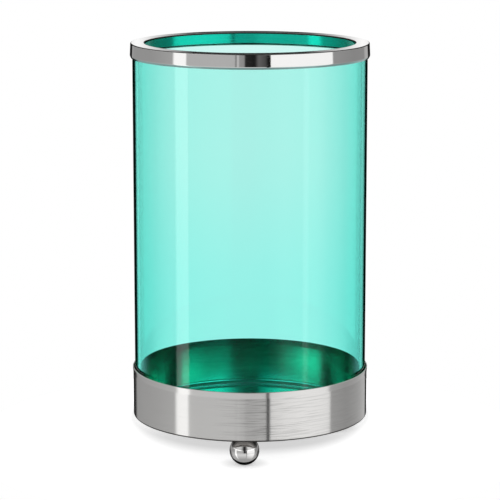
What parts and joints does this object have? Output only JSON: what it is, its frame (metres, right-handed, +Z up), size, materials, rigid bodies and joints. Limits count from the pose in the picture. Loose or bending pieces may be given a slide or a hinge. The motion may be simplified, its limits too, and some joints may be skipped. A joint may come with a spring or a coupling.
{
  "type": "hurricane candle lantern",
  "caption": "Open hurricane candle lantern: tinted glass cylinder standing in a brushed steel base on ball feet, with a polished steel ring round its rim.",
  "frame": {"origin": "on the table, under the centre of the glass", "axes": "+Z up along the axis of the glass, -Y towards the front foot, +X to the right seen from the front"},
  "size_m": [0.1174, 0.1174, 0.1999],
  "materials": {
    "tinted_glass": "clear turquoise tint, fire-polished ends",
    "polished_steel": "mirror polish",
    "brushed_steel": "brushed round the hoop",
    "floor_steel": "mill finish sheet",
    "stud_steel": "plain threaded stud"
  },
  "bodies": {
    "base": {"base_band": "brushed_steel", "base_plate": "floor_steel", "ball_foot_1": "polished_steel", "ball_foot_2": "polished_steel", "ball_foot_3": "polished_steel", "foot_studs": "stud_steel"},
    "chimney": {"glass_chimney": "tinted_glass"},
    "rim": {"top_ring": "polished_steel"}
  },
  "joints": [
    {"name": "chimney_lift", "type": "slide", "parent": "base", "child": "chimney", "axis": [0, 0, 1], "range_m": [0, 0.06]},
    {"name": "ring_lift", "type": "slide", "parent": "chimney", "child": "rim", "axis": [0, 0, 1], "range_m": [0, 0.03]}
  ]
}
